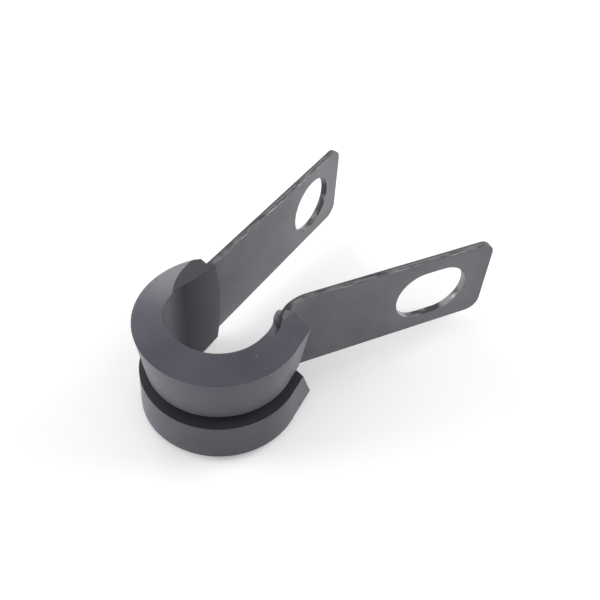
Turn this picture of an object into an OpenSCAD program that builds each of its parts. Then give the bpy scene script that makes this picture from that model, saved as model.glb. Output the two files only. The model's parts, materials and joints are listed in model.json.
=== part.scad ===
// Rubber-lined P clip, sprung open. Millimetres.
// The ring axis is the Z axis, the base leg runs out along +X and the clip stands on its
// liner at z = 0. Two pieces: one folded steel strap and one extruded rubber liner that
// wraps the strap's edges round the ring.

/* [Strap] */
// Width of the steel strip
strap_w = 13; // [10:0.5:16]
// Thickness of the steel strip
strap_t = 1; // [0.8:0.1:1.5]
// Corner radius at the free end of each leg
corner_r = 2; // [0.5:0.5:3]

/* [Ring] */
// Diameter of the hose or cable that the open clip takes
bore_d = 13.2; // [12:0.2:16]
// Rubber between the bore and the strap
base_t = 0.6; // [0.5:0.1:1.5]
// Rubber lips outside the strap
lip_t = 2.5; // [2:0.1:3.5]

/* [Base leg] */
// Ring axis to the free end of the base leg
base_len = 40; // [34:0.2:55]
// How far the base leg lies inside the ring's tangent
base_sink = 0.65; // [0.3:0.05:1]
// Ring axis to where the base leg's gentle bend ends and it runs straight
base_start = 7.2; // [6.8:0.1:10]
// Round screw hole in the base leg
hole_d = 9; // [5:0.1:9]
// Hole centre to the free end of the base leg
hole_end = 7.7; // [6:0.1:12]

/* [Second leg] */
// Angle between the two legs as the clip stands open
splay = 32.5; // [26:0.5:40]
// Ring axis to the free end of the second leg
second_len = 40.7; // [34:0.1:55]
// Gap-side face of the second leg to a line through the ring axis
second_off = 0.45; // [0:0.05:1.5]
// Radius of the outward fold between ring and second leg, on its tight side
fold_r = 5; // [3:0.1:6]
// Width of the adjusting slot
slot_w = 8.4; // [5:0.1:9]
// Length of the adjusting slot, end to end
slot_l = 11.1; // [9.5:0.1:14]
// Slot centre to the free end of the second leg
slot_end = 9.3; // [8.5:0.1:13]

/* [Liner] */
// How far the liner's end faces stand proud of the strap's edge, at the bore
proud = 1.7; // [1.3:0.1:2.5]
// How far each end face falls away from the bore to its outer rim
dish = 0.95; // [0.3:0.05:1.1]
// Height of the slit between the lips, to its middle
slit_z = 7.4; // [6.5:0.1:9]
// Opening of the slit between the lips
slit_h = 1.5; // [0.8:0.1:2.5]
// How far the upper lip leans in towards the slit
lean_top = 1.1; // [0:0.1:1.5]
// How far the lower lip leans in towards the slit
lean_bottom = 0.2; // [0:0.1:1.5]
// Length of liner along the base leg
on_base = 6.5; // [6:0.1:9]
// Length of liner along the second leg
on_second = 7.6; // [7:0.1:10]
// How much further the lower lip reaches along the second leg
kick = 2.1; // [0:0.1:2.5]
// Skew of the cuts across the liner's ends
skew = 17; // [0:1:20]
// How far the rubber behind the base leg reaches past the cut
tongue_base = 1.5; // [0.5:0.1:2]
// How far the rubber behind the second leg reaches past the cut
tongue_second = 2.5; // [0.5:0.1:3]
// Radius that the end of that rubber is rounded to, on the base leg
tongue_r_base = 28; // [15:1:40]
// Radius that the end of that rubber is rounded to, on the second leg
tongue_r_second = 8.5; // [7.5:0.5:20]
// How far the cut ends draw back at the slit, outside the strap
draw = 0.9; // [0.3:0.1:1.6]
// Fall of the base leg's shoulders towards the cut end
fall_base = 7.5; // [4:0.5:9]
// Fall of the second leg's shoulders towards the cut end
fall_second = 6; // [4:0.5:9]
// Slope of the second leg's shoulders towards the mouth
tilt_second = 31; // [10:1:40]

/* [Hidden] */
$fn = 96;
big = 60;
bore_r = bore_d / 2;
ring_r = bore_r + base_t;
rim_r = ring_r + strap_t + lip_t;
liner_h = strap_w + 2 * proud;
mid_z = liner_h / 2;
// Arcs that run on into a neighbour cross it by this much, so that they meet at one clean edge.
hair = 0.01;

// Each leg leaves the ring through an outward bend that is tangent to both. A bend's centre lies
// outside the ring; its radius is that of the strap's gap-side face.
base_y = ring_r - base_sink;
base_bend_r = (pow(base_start, 2) + pow(base_sink, 2)) / (2 * base_sink) - ring_r;
second_bend_r = fold_r + strap_t;

// The liner leaves its circle here and runs on straight, until past its end on the second leg.
flare_ang = -51 - splay;
flare_l = on_second + kick;

// Second leg's own frame: +X along the leg, +Y towards the gap, origin on the ring axis.
module second_frame() {
    rotate([0, 0, -splay]) children();
}

// ---- the strap's path, seen from above -----------------------------------------------

// Gap side of a leg that runs along +X, with the gap above it: y is the strap's gap-side face,
// bend_r the radius of the bend from the ring and d how far outside that face the line runs. The
// region reaches a little past the middle of the gap, and well past the legs' ends.
module leg_side(y, bend_r, d) {
    bend_y = y - bend_r;
    bend_x = sqrt(pow(ring_r + bend_r - hair, 2) - pow(bend_y, 2));
    far = big - d;
    difference() {
        polygon([[0, 0], [bend_x, bend_y], [bend_x, y - d], [far, y - d],
                 [far, far * tan(splay / 2 + 5)]]);
        translate([bend_x, bend_y]) circle(r = bend_r - d);
    }
}

// Everything on the gap side of a line that runs d outside the strap's gap-side face.
module gap_side(d) {
    circle(r = ring_r + d);
    mirror([0, 1]) leg_side(-base_y, base_bend_r, d);
    second_frame() leg_side(second_off, second_bend_r, d);
}

// The folded strip, before the ends of its legs are cut.
module strip() {
    translate([0, 0, proud])
        linear_extrude(strap_w)
            difference() {
                gap_side(strap_t);
                gap_side(0);
            }
}

// ---- steel strap -----------------------------------------------------------------------

// Cuts a leg off at x = len with two rounded corners; y is the leg's lower face.
module leg_end(len, y) {
    corner_y = strap_w / 2 - corner_r + hair;
    translate([len - corner_r, y + strap_t + 1, mid_z])
        rotate([90, 0, 0])
            linear_extrude(strap_t + 2)
                difference() {
                    translate([0, -strap_w]) square([big, 2 * strap_w]);
                    translate([0, -corner_y]) square([corner_r, 2 * corner_y]);
                    for (side = [-1, 1])
                        translate([0, side * corner_y]) circle(r = corner_r);
                }
}

module screw_hole() {
    translate([base_len - hole_end, base_y - 1, mid_z])
        rotate([-90, 0, 0])
            cylinder(d = hole_d, h = strap_t + 2);
}

module adjusting_slot() {
    run = slot_l - slot_w;
    translate([second_len - slot_end, second_off + 1, mid_z])
        rotate([90, 0, 0])
            linear_extrude(strap_t + 2)
                union() {
                    translate([-run / 2, 0]) circle(d = slot_w);
                    translate([run / 2, 0]) circle(d = slot_w);
                    square([run, slot_w], center = true);
                }
}

module strap() {
    color([0.27, 0.28, 0.30])
        difference() {
            strip();
            leg_end(base_len, base_y);
            second_frame() leg_end(second_len, second_off - strap_t);
            screw_hole();
            second_frame() adjusting_slot();
        }
}

// ---- rubber liner ------------------------------------------------------------------------

// Outline of the bent extrusion: dished end faces, and two lips that lean in to the slit.
module liner_section() {
    polygon([[bore_r - 1.5, 0], [bore_r, 0], [rim_r, dish],
             [rim_r - lean_bottom, slit_z], [rim_r - lean_top, slit_z],
             [rim_r, liner_h - dish], [bore_r, liner_h], [bore_r - 1.5, liner_h]]);
}

// Cut across the lips at x, drawn back at the slit; the lower lip reaches past x by low.
module lip_trim(x, low) {
    polygon([[x + low, -1], [x + low, 0], [x - draw, slit_z], [x, liner_h], [x, liner_h + 1],
             [big, liner_h + 1], [big, -1]]);
}

// Cut behind the strap, round an arc of radius r that bellies out to x, in the middle of the end.
module tongue_trim(x, r) {
    difference() {
        translate([x - r, -1]) square([big, liner_h + 2]);
        translate([x - r, mid_z]) circle(r = r);
    }
}

// Shoulder beside the mouth, at the top and mirrored at the bottom: a flat that starts level with
// the bore's edge, falls as it runs out at turn, and slopes by tilt towards the mouth. Side is 1
// on the base leg and -1 on the second.
module shoulders(side, turn, fall, tilt) {
    for (m = [0, 1])
        translate([0, 0, mid_z])
            mirror([0, 0, m])
                rotate([0, 0, turn])
                    translate([0, side * bore_r, mid_z])
                        rotate([side * tilt, fall, 0])
                            translate([-1, -bore_r, 0])
                                cube([2 * rim_r, bore_d, mid_z]);
}

// The bent extrusion before it is cut: a ring that flares off its circle on the second leg, and
// the rubber behind the strap, which runs on along both legs.
module liner_blank() {
    rotate_extrude() liner_section();
    rotate([0, 0, flare_ang])
        translate([-0.02, flare_l, 0])
            rotate([90, 0, 0])
                linear_extrude(flare_l) liner_section();
    translate([0, 0, dish])
        linear_extrude(liner_h - 2 * dish)
            gap_side(strap_t / 2);
}

// Runs an outline in (x, z) across a leg that lies along X with the gap on its +Y side. The cut
// is skewed by turn about the point (x, y) of the leg's face.
module end_cut(x, y, turn) {
    translate([x, y, 0])
        rotate([0, 0, turn])
            translate([-x, bore_r / 2, 0])
                rotate([90, 0, 0])
                    linear_extrude(big)
                        children();
}

// Everything outside a line that runs d outside the strap's gap-side face.
module outside(d) {
    difference() {
        circle(r = big / 2);
        gap_side(d);
    }
}

// Everything on the gap side of the strap's middle.
module behind_strap() {
    translate([0, 0, -1])
        linear_extrude(liner_h + 2)
            gap_side(strap_t / 2);
}

// What is cut away at the two ends of the lips, outside the strap.
module lip_ends() {
    difference() {
        union() {
            mirror([0, 1])
                end_cut(on_base, -base_y, skew) lip_trim(on_base, 0);
            second_frame()
                end_cut(on_second, second_off, skew) lip_trim(on_second, kick);
        }
        behind_strap();
    }
}

// What is cut away at the two ends of the rubber behind the strap.
module tongue_ends() {
    intersection() {
        union() {
            mirror([0, 1])
                end_cut(on_base, -base_y, 0) tongue_trim(on_base + tongue_base, tongue_r_base);
            second_frame()
                end_cut(on_second, second_off, 0)
                    tongue_trim(on_second + tongue_second, tongue_r_second);
        }
        behind_strap();
    }
}

module rubber_liner() {
    color([0.13, 0.13, 0.15])
        difference() {
            intersection() {
                liner_blank();
                translate([0, 0, -1])
                    linear_extrude(liner_h + 2)
                        outside(-base_t);
            }
            strip();
            // slit between the lips
            translate([0, 0, slit_z - slit_h / 2])
                linear_extrude(slit_h)
                    outside(strap_t);
            lip_ends();
            tongue_ends();
            shoulders(1, 8, fall_base, 0);
            shoulders(-1, -2, fall_second, tilt_second);
        }
}

strap();
rubber_liner();
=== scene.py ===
"""Looks of the rubber-lined P clip. Metres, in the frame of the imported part."""

import json
import math

import bpy
from mathutils import Matrix, Vector


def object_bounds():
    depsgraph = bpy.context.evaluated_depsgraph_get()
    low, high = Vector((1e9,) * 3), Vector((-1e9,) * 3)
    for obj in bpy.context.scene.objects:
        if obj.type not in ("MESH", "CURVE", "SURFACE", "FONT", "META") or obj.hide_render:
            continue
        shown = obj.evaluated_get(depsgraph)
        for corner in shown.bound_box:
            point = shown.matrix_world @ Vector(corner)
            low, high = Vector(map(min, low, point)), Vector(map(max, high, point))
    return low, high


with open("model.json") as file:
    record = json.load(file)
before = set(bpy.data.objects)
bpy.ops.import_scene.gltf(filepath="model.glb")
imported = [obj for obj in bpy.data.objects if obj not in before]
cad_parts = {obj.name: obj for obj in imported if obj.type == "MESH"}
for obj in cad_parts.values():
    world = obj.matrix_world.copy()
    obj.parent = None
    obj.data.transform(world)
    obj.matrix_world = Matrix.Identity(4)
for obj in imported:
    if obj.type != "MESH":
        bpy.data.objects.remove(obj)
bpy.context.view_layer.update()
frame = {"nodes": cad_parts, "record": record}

MM = 0.001

# The camera looks down at the ring from the side away from the legs.
CAMERA_AT = Vector((-51.93, -40.60, 88.27)) * MM
LOOK_TURN = math.radians(29.587)
LOOK_DOWN = math.radians(46.495)
ROLL = math.radians(4.499)
LENS = 47.873
SENSOR = 36
CLIP_START = 5 * MM

# The strap's thickness and the size of its slot. The fold from ring to second leg is given along
# and across that leg, by its centre and the radius of the strap's middle.
STRAP_T = 1.0 * MM
SLOT_W, SLOT_L = 8.4 * MM, 11.1 * MM
FOLD_X, FOLD_Y, FOLD_R = 11.97 * MM, -5.55 * MM, 5.5 * MM

# The slit between the liner's lips.
SLIT_LOW, SLIT_HIGH = 6.65 * MM, 8.15 * MM

# How the strap's edges are rounded off.
STRAP_EDGE = 0.08 * MM
STRAP_EDGE_ANGLE = math.radians(25)
SAME_POINT = 0.002 * MM

# How the liner's edges are rounded off in its shading: everywhere, and at the bore's edge.
LINER_EDGE, BORE_EDGE = 0.1 * MM, 0.45 * MM

# Colours of the rubber: its clouds and lint, and painted shade on the cuts beside the mouth, on the
# bore and inside the slit.
RUBBER_DARK, RUBBER_LIGHT = (0.046, 0.048, 0.066), (0.060, 0.062, 0.082)
LINT = (0.20, 0.20, 0.21)
CUT_SHADE = (0.016, 0.017, 0.025)
BORE_SHADE = (0.018, 0.020, 0.030)
SLIT_SHADE = (0.010, 0.011, 0.016)

# Colours of the steel: its plating's clouds, and a painted reflection, a lighter patch round hole
# and slot.
PLATING_DARK, PLATING_LIGHT = (0.122, 0.128, 0.142), (0.150, 0.156, 0.170)
PAINTED_GLARE = (0.26, 0.27, 0.27)

# Colours of its sheared edges: burnished, the line where the break starts, torn, the rim at the
# camera's face with its burr, and painted shade on the edge inside the ring.
BURNISHED = (0.26, 0.265, 0.27)
BREAK_LINE = (0.02, 0.02, 0.024)
TORN_DARK, TORN_LIGHT = (0.045, 0.046, 0.052), (0.17, 0.175, 0.18)
RIM = (0.08, 0.082, 0.09)
BURR = (0.36, 0.36, 0.37)
RING_EDGE_SHADE = (0.03, 0.03, 0.034)

# Colours of its punched walls: painted shade, and painted glints.
WALL_SHADE, WALL_GLINT = (0.045, 0.046, 0.050), (0.32, 0.32, 0.33)

# Cells of the slow change of tone that rubber and steel share.
CLOUD = 5 * MM

# The floor: half its side, and its glow for the camera, which grows with distance from the clip so
# that no grey band shows at the horizon.
FLOOR_HALF = 3.0
GLOW_NEAR, GLOW_FAR = 0.15, 0.6
GLOW_LOW, GLOW_HIGH = 0.18, 0.5

# Lamps: name, turn from +X and rise from the floor in degrees, size in metres, power in watts.
LAMPS = (
    ("back", 57, 7, 0.2, 0.95),
    ("left", 122, 12, 0.3, 2.2),
    ("right", -38, 26, 0.34, 1.3),
)
LAMP_AWAY = 0.5
WORLD_LEVEL = 0.6

mounts = {mount["name"]: mount for mount in frame["record"]["mounts"]}


def link(obj):
    """Puts a new object into the scene."""
    bpy.context.scene.collection.objects.link(obj)
    return obj


# ---- materials ---------------------------------------------------------------------------


class Nodes:
    """A material's node tree, with short calls to add and join nodes."""

    def __init__(self, name):
        self.material = bpy.data.materials.new(name)
        self.material.use_nodes = True
        self.tree = self.material.node_tree
        self.shader = self.tree.nodes["Principled BSDF"]
        coordinates = self.tree.nodes.new("ShaderNodeTexCoord").outputs
        self.place = coordinates["Object"]
        self.x, self.y, self.z = self.split(self.place)
        self.facing = self.split(coordinates["Normal"])

    def join(self, source, target):
        """Feeds a socket from an output, or sets it to a plain value."""
        if isinstance(source, bpy.types.NodeSocket):
            self.tree.links.new(source, target)
        else:
            target.default_value = source

    def split(self, source):
        """The x, y and z of a vector."""
        node = self.tree.nodes.new("ShaderNodeSeparateXYZ")
        self.join(source, node.inputs[0])
        return node.outputs

    def vector(self, x, y, z):
        """A vector from its x, y and z."""
        node = self.tree.nodes.new("ShaderNodeCombineXYZ")
        for value, socket in zip((x, y, z), node.inputs):
            self.join(value, socket)
        return node.outputs[0]

    def math(self, operation, *values):
        """One step of arithmetic, under Blender's name for it."""
        node = self.tree.nodes.new("ShaderNodeMath")
        node.operation = operation
        for value, socket in zip(values, node.inputs):
            self.join(value, socket)
        return node.outputs[0]

    def add(self, first, second):
        return self.math("ADD", first, second)

    def subtract(self, first, second):
        return self.math("SUBTRACT", first, second)

    def multiply(self, first, second):
        return self.math("MULTIPLY", first, second)

    def divide(self, first, second):
        return self.math("DIVIDE", first, second)

    def larger(self, first, second):
        return self.math("MAXIMUM", first, second)

    def size(self, value):
        """A value without its sign."""
        return self.math("ABSOLUTE", value)

    def length(self, x, y):
        """The length of (x, y)."""
        squares = self.add(self.multiply(x, x), self.multiply(y, y))
        return self.math("SQRT", squares)

    def choose(self, switch, on, off):
        """One value where switch is 1, another where it is 0."""
        return self.add(self.multiply(on, switch), self.multiply(off, self.subtract(1.0, switch)))

    def spread(self, source, low, high, out_low=0.0, out_high=1.0):
        """Maps source from low..high to out_low..out_high, and holds it there beyond."""
        node = self.tree.nodes.new("ShaderNodeMapRange")
        for name, value in zip(
            ("From Min", "From Max", "To Min", "To Max"), (low, high, out_low, out_high)
        ):
            node.inputs[name].default_value = value
        self.join(source, node.inputs["Value"])
        return node.outputs["Result"]

    def band(self, source, low, high, soft):
        """1 where source lies in low..high, with soft sides."""
        rise = self.spread(source, low - soft, low + soft)
        fall = self.spread(source, high - soft, high + soft, 1, 0)
        return self.multiply(rise, fall)

    def noise(self, cell, detail=3.0, roughness=0.5, at=None):
        """Noise with cells of the given size in metres."""
        node = self.tree.nodes.new("ShaderNodeTexNoise")
        node.inputs["Scale"].default_value = 1 / cell
        node.inputs["Detail"].default_value = detail
        node.inputs["Roughness"].default_value = roughness
        self.join(at or self.place, node.inputs["Vector"])
        return node.outputs["Fac"]

    def dots(self, cell, radius, share):
        """One dot of the given radius in a share of cells of the given size, in metres."""
        node = self.tree.nodes.new("ShaderNodeTexVoronoi")
        node.inputs["Scale"].default_value = 1 / cell
        self.join(self.place, node.inputs["Vector"])
        chosen = self.math("LESS_THAN", node.outputs["Color"], share)
        solid_part = 0.6
        solid, rim = solid_part * radius / cell, radius / cell
        near = self.spread(node.outputs["Distance"], solid, rim, 1, 0)
        return self.multiply(chosen, near)

    def blend(self, factor, first, second):
        """Blends two colours, plain or from a socket, by factor."""
        node = self.tree.nodes.new("ShaderNodeMix")
        node.data_type = "RGBA"
        self.join(factor, node.inputs["Factor"])
        for colour, name in ((first, "A"), (second, "B")):
            socket = next(s for s in node.inputs if s.name == name and s.type == "RGBA")
            if not isinstance(colour, bpy.types.NodeSocket):
                colour = (*colour, 1)
            self.join(colour, socket)
        return next(s for s in node.outputs if s.type == "RGBA")

    def bump(self, height, depth, below=None):
        """Bump of the given depth in metres, laid over an earlier normal if one is given."""
        node = self.tree.nodes.new("ShaderNodeBump")
        node.inputs["Strength"].default_value = 1.0
        node.inputs["Distance"].default_value = depth
        self.join(height, node.inputs["Height"])
        if below is not None:
            self.join(below, node.inputs["Normal"])
        return node.outputs["Normal"]

    def rounded(self, radius):
        """The surface's normal, with edges rounded off to a radius in metres."""
        node = self.tree.nodes.new("ShaderNodeBevel")
        node.samples = 8
        self.join(radius, node.inputs["Radius"])
        return node.outputs["Normal"]

    def finish(self, colour, roughness, normal):
        """Feeds the shader and gives the material."""
        self.join(colour, self.shader.inputs["Base Color"])
        self.join(roughness, self.shader.inputs["Roughness"])
        self.join(normal, self.shader.inputs["Normal"])
        return self.material


def rubber_material():
    """Extruded rubber: die lines round the ring, a fine grain, and a little lint. Painted shade
    darkens the cuts beside the mouth, the bore and the slit."""
    m = Nodes("rubber")
    radius = m.length(m.x, m.y)
    upright = m.size(m.facing[2])
    die_lines = m.noise(0.35 * MM, 2, 0.5, m.vector(radius, m.z, 0.0))
    grain = m.noise(0.25 * MM, 3, 0.6)
    clouds = m.noise(CLOUD, 2)
    lint = m.dots(1.4 * MM, 0.09 * MM, 0.8)
    colour = m.blend(m.spread(clouds, 0.35, 0.65), RUBBER_DARK, RUBBER_LIGHT)
    colour = m.blend(lint, colour, LINT)

    # painted shade on the cuts beside the mouth, told by their slope
    base_cut_shade = m.spread(upright, 0.980, 0.988)
    second_cut_shade = m.band(upright, 0.83, 0.87, 0.01)
    shaded_cut = m.larger(base_cut_shade, second_cut_shade)
    colour = m.blend(shaded_cut, colour, CUT_SHADE)

    # painted shade on the bore and the rubber behind the strap, which face the ring's axis
    outward = m.add(m.multiply(m.x, m.facing[0]), m.multiply(m.y, m.facing[1]))
    shade_inward = m.spread(m.divide(outward, radius), -0.7, -0.5, 0.35, 0)
    colour = m.blend(shade_inward, colour, BORE_SHADE)

    # painted shade on the slit's two faces
    level = m.spread(upright, 0.5, 0.9)
    slit_shade = m.multiply(m.band(m.z, SLIT_LOW, SLIT_HIGH, 0.05 * MM), level)
    colour = m.blend(slit_shade, colour, SLIT_SHADE)

    fine = m.spread(grain, 0.3, 0.7, 0.30, 0.42)
    slow = m.spread(clouds, 0.3, 0.7, -0.04, 0.04)
    roughness = m.add(m.add(fine, slow), m.multiply(shaded_cut, 0.3))

    # the bore's edge is rounder, but not beside the mouth
    far_side = m.spread(m.x, -3.0 * MM, -1.5 * MM, 1, 0)
    near_bore = m.multiply(far_side, m.spread(radius, 7.1 * MM, 7.5 * MM, 1, 0))
    soft = m.spread(near_bore, 0, 1, LINER_EDGE, BORE_EDGE)
    normal = m.bump(grain, 0.012 * MM, m.rounded(soft))
    normal = m.bump(die_lines, 0.012 * MM, normal)

    m.shader.inputs["Sheen Weight"].default_value = 0.2
    m.shader.inputs["Sheen Roughness"].default_value = 0.35
    return m.finish(colour, roughness, normal)


def strip_depth(m, along, across, on_base):
    """Depth through the strip from the face that the camera sees: 0 there, 1 at the other."""
    outer_face = mounts["fixing_face"]["pos_m"][1]
    base = m.divide(m.subtract(m.y, outer_face - STRAP_T), STRAP_T)
    before_fold = m.larger(m.subtract(FOLD_X, along), 0.0)
    from_fold = m.length(before_fold, m.subtract(across, FOLD_Y))
    second = m.add(m.divide(m.subtract(from_fold, FOLD_R), STRAP_T), 0.5)
    return m.choose(on_base, base, second)


def sheared_edge(m, depth, streaks):
    """The colours of a sheared edge, in bands from face to face."""
    torn = m.blend(m.spread(streaks, 0.42, 0.58), TORN_DARK, TORN_LIGHT)
    edge = m.blend(m.band(depth, 0.12, 0.68, 0.04), BURNISHED, torn)
    edge = m.blend(m.band(depth, 0.68, 0.84, 0.03), edge, BREAK_LINE)
    edge = m.blend(m.band(depth, -0.2, 0.12, 0.03), edge, RIM)
    burr = m.multiply(m.band(depth, -0.05, 0.10, 0.03), m.spread(streaks, 0.48, 0.62))
    edge = m.blend(burr, edge, BURR)
    # painted shade on the edges inside the ring
    past_ring = m.spread(m.length(m.x, m.y), 9.0 * MM, 9.6 * MM)
    return m.blend(past_ring, RING_EDGE_SHADE, edge)


def wall_distance(m, along, slot_along, on_base):
    """Distance from the wall of the hole or the slot, over the leg's face."""
    hole = mounts["screw_hole"]
    hole_x, _, hole_z = hole["pos_m"]
    from_hole = m.length(m.subtract(m.x, hole_x), m.subtract(m.z, hole_z))
    to_hole = m.subtract(from_hole, hole["dims"]["r_mm"] * MM)

    slot_z = mounts["adjusting_slot"]["pos_m"][2]
    straight = (SLOT_L - SLOT_W) / 2
    from_middle = m.size(m.subtract(along, slot_along))
    past_straight = m.larger(m.subtract(from_middle, straight), 0.0)
    from_slot = m.length(past_straight, m.subtract(m.z, slot_z))
    to_slot = m.subtract(from_slot, SLOT_W / 2)
    return m.choose(on_base, to_hole, to_slot)


def steel_material():
    """Dark satin plating, with sheared edges: a burnished band, a torn one and a thin burr."""
    m = Nodes("dark_plated_steel")
    clouds = m.noise(CLOUD, 3)
    grain = m.noise(0.3 * MM, 3, 0.6)
    colour = m.blend(m.spread(clouds, 0.35, 0.65), PLATING_DARK, PLATING_LIGHT)

    # place on the second leg, along it and across it
    slot_x, slot_y, _ = mounts["adjusting_slot"]["pos_m"]
    side_x, side_y, _ = mounts["adjusting_slot"]["axis"]
    along = m.subtract(m.multiply(m.x, side_y), m.multiply(m.y, side_x))
    across = m.add(m.multiply(m.x, side_x), m.multiply(m.y, side_y))
    slot_along = slot_x * side_y - slot_y * side_x
    on_base = m.math("GREATER_THAN", m.y, 0.0)

    # sheared long edges, streaked along the strip
    depth = strip_depth(m, along, across, on_base)
    streak_at = m.vector(m.multiply(m.x, 0.12), m.multiply(depth, 0.8 * MM), 0.0)
    streaks = m.noise(0.3 * MM, 3, 0.7, streak_at)
    sheared = m.spread(m.size(m.facing[2]), 0.35, 0.6)
    colour = m.blend(sheared, colour, sheared_edge(m, depth, streaks))

    # a painted reflection, a lighter patch round hole and slot, and painted shade with painted
    # glints on their punched walls
    to_wall = wall_distance(m, along, slot_along, on_base)
    colour = m.blend(m.spread(to_wall, 0.2 * MM, 4 * MM, 0.2, 0.0), colour, PAINTED_GLARE)
    glint_spread = m.subtract(clouds, m.multiply(on_base, 0.12))
    wall = m.blend(m.spread(glint_spread, 0.40, 0.50), WALL_SHADE, WALL_GLINT)
    colour = m.blend(m.spread(to_wall, 0.05 * MM, 0.12 * MM, 1, 0), colour, wall)

    m.shader.inputs["Metallic"].default_value = 0.35
    roughness = m.spread(grain, 0.3, 0.7, 0.28, 0.40)
    normal = m.bump(grain, 0.008 * MM)
    normal = m.bump(m.multiply(streaks, sheared), 0.03 * MM, normal)
    return m.finish(colour, roughness, normal)


def floor_material():
    """Matt white, and a little lighter where the camera sees it."""
    m = Nodes("floor")
    m.shader.inputs["Roughness"].default_value = 0.9
    m.shader.inputs["Specular IOR Level"].default_value = 0.0
    seen = m.tree.nodes.new("ShaderNodeLightPath").outputs["Is Camera Ray"]
    m.join(m.blend(seen, (0.95, 0.95, 0.95), (1, 1, 1)), m.shader.inputs["Base Color"])
    m.join((1, 1, 1, 1), m.shader.inputs["Emission Color"])
    glow = m.spread(m.length(m.x, m.y), GLOW_NEAR, GLOW_FAR, GLOW_LOW, GLOW_HIGH)
    m.join(m.multiply(seen, glow), m.shader.inputs["Emission Strength"])
    return m.material


# ---- pieces ---------------------------------------------------------------------------------


def make_strap():
    """Gives the strap its steel and rounds its edges."""
    piece = frame["nodes"]["strap"]
    piece.data.materials.clear()
    piece.data.materials.append(steel_material())
    piece.modifiers.new("one_skin", "WELD").merge_threshold = SAME_POINT
    bevel = piece.modifiers.new("soft_edges", "BEVEL")
    bevel.width = STRAP_EDGE
    bevel.segments = 3
    bevel.use_clamp_overlap = False
    bevel.limit_method = "ANGLE"
    bevel.angle_limit = STRAP_EDGE_ANGLE
    flats = piece.modifiers.new("flat_faces", "WEIGHTED_NORMAL")
    flats.weight = 100
    flats.keep_sharp = True


def make_liner():
    """Gives the liner its rubber. Its mesh stays as packed."""
    piece = frame["nodes"]["rubber_liner"]
    piece.data.materials.clear()
    piece.data.materials.append(rubber_material())


make_strap()
make_liner()


# ---- stage ------------------------------------------------------------------------------------


def make_floor():
    """A flat square under the clip."""
    mesh = bpy.data.meshes.new("floor")
    half = FLOOR_HALF
    mesh.from_pydata(
        [(-half, -half, 0), (half, -half, 0), (half, half, 0), (-half, half, 0)], [], [(0, 1, 2, 3)]
    )
    floor = link(bpy.data.objects.new("floor", mesh))
    floor.location.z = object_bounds()[0].z
    mesh.materials.append(floor_material())


def make_camera():
    """The camera at the photograph's viewing angle."""
    data = bpy.data.cameras.new("camera")
    data.lens = LENS
    data.sensor_width = SENSOR
    data.clip_start = CLIP_START
    camera = link(bpy.data.objects.new("camera", data))
    camera.matrix_world = (
        Matrix.Translation(CAMERA_AT)
        @ Matrix.Rotation(LOOK_TURN - math.pi / 2, 4, "Z")
        @ Matrix.Rotation(math.pi / 2 - LOOK_DOWN, 4, "X")
        @ Matrix.Rotation(ROLL, 4, "Z")
    )
    bpy.context.scene.camera = camera


def make_lamp(name, turn, rise, size, power):
    """Square lamp that faces the ring; turn is from +X, rise from the floor."""
    data = bpy.data.lights.new(name, "AREA")
    data.size = size
    data.energy = power
    lamp = link(bpy.data.objects.new(name, data))
    turn, rise = math.radians(turn), math.radians(rise)
    level = math.cos(rise)
    away = Vector((level * math.cos(turn), level * math.sin(turn), math.sin(rise)))
    lamp.location = away * LAMP_AWAY
    lamp.rotation_euler = away.to_track_quat("Z", "Y").to_euler()


def make_world(level):
    """Even white light of the given level, which the camera and reflections see as white."""
    world = bpy.data.worlds.new("world")
    world.use_nodes = True
    bpy.context.scene.world = world
    tree = world.node_tree
    rays = tree.nodes.new("ShaderNodeLightPath").outputs
    seen = rays["Is Camera Ray"]
    for name in ("Is Glossy Ray", "Is Transmission Ray"):
        both = tree.nodes.new("ShaderNodeMath")
        both.operation = "MAXIMUM"
        tree.links.new(seen, both.inputs[0])
        tree.links.new(rays[name], both.inputs[1])
        seen = both.outputs[0]
    strength = tree.nodes.new("ShaderNodeMapRange")
    strength.inputs["To Min"].default_value = level
    tree.links.new(seen, strength.inputs["Value"])
    background = tree.nodes["Background"]
    background.inputs["Color"].default_value = (1, 1, 1, 1)
    tree.links.new(strength.outputs["Result"], background.inputs["Strength"])


make_floor()
make_camera()
make_world(WORLD_LEVEL)
for lamp in LAMPS:
    make_lamp(*lamp)
bpy.context.scene.view_settings.view_transform = "Standard"
